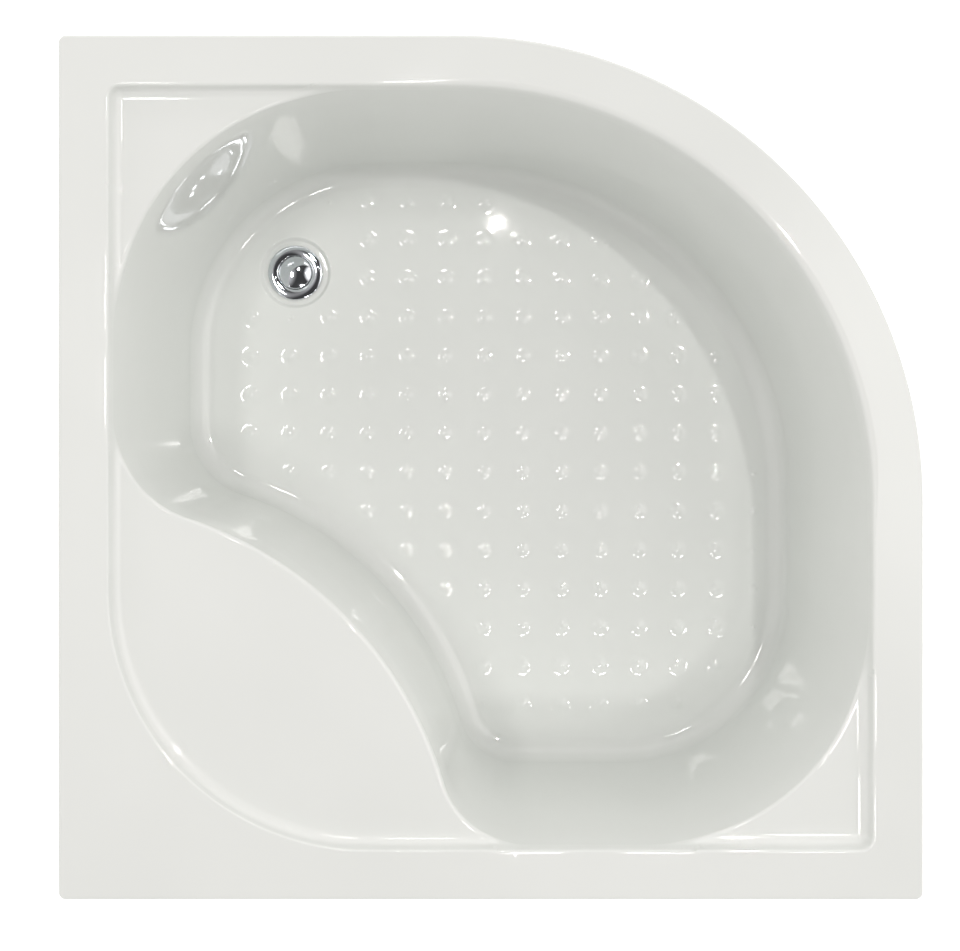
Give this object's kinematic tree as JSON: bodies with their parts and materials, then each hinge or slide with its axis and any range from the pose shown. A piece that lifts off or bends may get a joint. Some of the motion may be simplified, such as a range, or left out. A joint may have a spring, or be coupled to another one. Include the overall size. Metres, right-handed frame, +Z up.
{
  "type": "deep shower tray",
  "caption": "Deep quadrant shower tray with a corner seat, a studded basin, a push-to-open waste, a pull-off front apron and a steel frame on adjustable feet.",
  "frame": {"origin": "on the floor, under the middle of the plan's bounding square", "axes": "+Z up; the two wall sides face -X and -Y; the round front corner lies towards +X +Y"},
  "size_m": [0.9, 0.9, 0.43],
  "materials": {
    "white_acrylic": "glossy moulded sheet",
    "laminate": "rough glass-fibre laminate",
    "chipboard": "raw chipboard",
    "grey_paint": "satin grey paint",
    "zinc_steel": "zinc plated",
    "magnet": "black coated block",
    "black_plastic": "moulded black plastic",
    "white_plastic": "moulded white plastic",
    "black_rubber": "moulded rubber",
    "chrome_plate": "polished chrome plate",
    "turned_brass": "turned brass"
  },
  "bodies": {
    "tray": {"acrylic_shell": "white_acrylic", "grp_backing": "laminate", "base_board": "chipboard", "seat_board": "chipboard", "post_caps": "black_plastic", "post_screws": "zinc_steel", "crossing_bolts": "zinc_steel", "crossing_nuts": "zinc_steel", "board_screws": "zinc_steel", "bracket_screws": "zinc_steel", "adjusting_nuts": "zinc_steel", "lock_nuts": "zinc_steel", "plug_spring": "zinc_steel", "apron_magnets": "magnet", "apron_brackets": "grey_paint", "wall_bracket_left": "zinc_steel", "wall_bracket_back": "zinc_steel", "waste_flange": "chrome_plate", "flange_gasket": "black_rubber", "lower_gasket": "black_rubber", "outlet_seal": "black_rubber", "trap_body": "white_plastic", "dip_tube": "white_plastic", "outlet_pipe": "white_plastic", "outlet_nut": "white_plastic", "plug_sleeve": "turned_brass", "lower_rail_back": "grey_paint", "lower_rail_front": "grey_paint", "upper_rail_left": "grey_paint", "upper_rail_middle": "grey_paint", "upper_rail_right": "grey_paint", "post_left_back": "grey_paint", "post_left_front": "grey_paint", "post_right_back": "grey_paint", "post_back": "grey_paint", "post_front": "grey_paint", "post_arc_left": "grey_paint", "post_arc_right": "grey_paint", "seat_post_back": "grey_paint", "seat_post_left": "grey_paint"},
    "plug": {"plug_cap": "chrome_plate", "plug_seal": "black_rubber", "plug_stem": "turned_brass"},
    "apron": {"apron_panel": "white_acrylic", "apron_strikes": "zinc_steel"},
    "foot_1": {"foot_pad_1": "black_plastic", "foot_rod_1": "zinc_steel"},
    "foot_2": {"foot_pad_2": "black_plastic", "foot_rod_2": "zinc_steel"},
    "foot_3": {"foot_pad_3": "black_plastic", "foot_rod_3": "zinc_steel"},
    "foot_4": {"foot_pad_4": "black_plastic", "foot_rod_4": "zinc_steel"},
    "foot_5": {"foot_pad_5": "black_plastic", "foot_rod_5": "zinc_steel"}
  },
  "joints": [
    {"name": "plug_lift", "type": "slide", "parent": "tray", "child": "plug", "axis": [0, 0, 1], "range_m": [0, 0.008], "deforming": ["plug_spring"]},
    {"name": "foot_1_height", "type": "slide", "parent": "tray", "child": "foot_1", "axis": [0, 0, -1], "range_m": [-0.01, 0.02]},
    {"name": "foot_2_height", "type": "slide", "parent": "tray", "child": "foot_2", "axis": [0, 0, -1], "range_m": [-0.01, 0.02]},
    {"name": "foot_3_height", "type": "slide", "parent": "tray", "child": "foot_3", "axis": [0, 0, -1], "range_m": [-0.01, 0.02]},
    {"name": "foot_4_height", "type": "slide", "parent": "tray", "child": "foot_4", "axis": [0, 0, -1], "range_m": [-0.01, 0.02]},
    {"name": "foot_5_height", "type": "slide", "parent": "tray", "child": "foot_5", "axis": [0, 0, -1], "range_m": [-0.01, 0.02]},
    {"name": "apron_pull", "type": "slide", "parent": "tray", "child": "apron", "axis": [0.7071, 0.7071, 0], "range_m": [0, 0.3]}
  ]
}
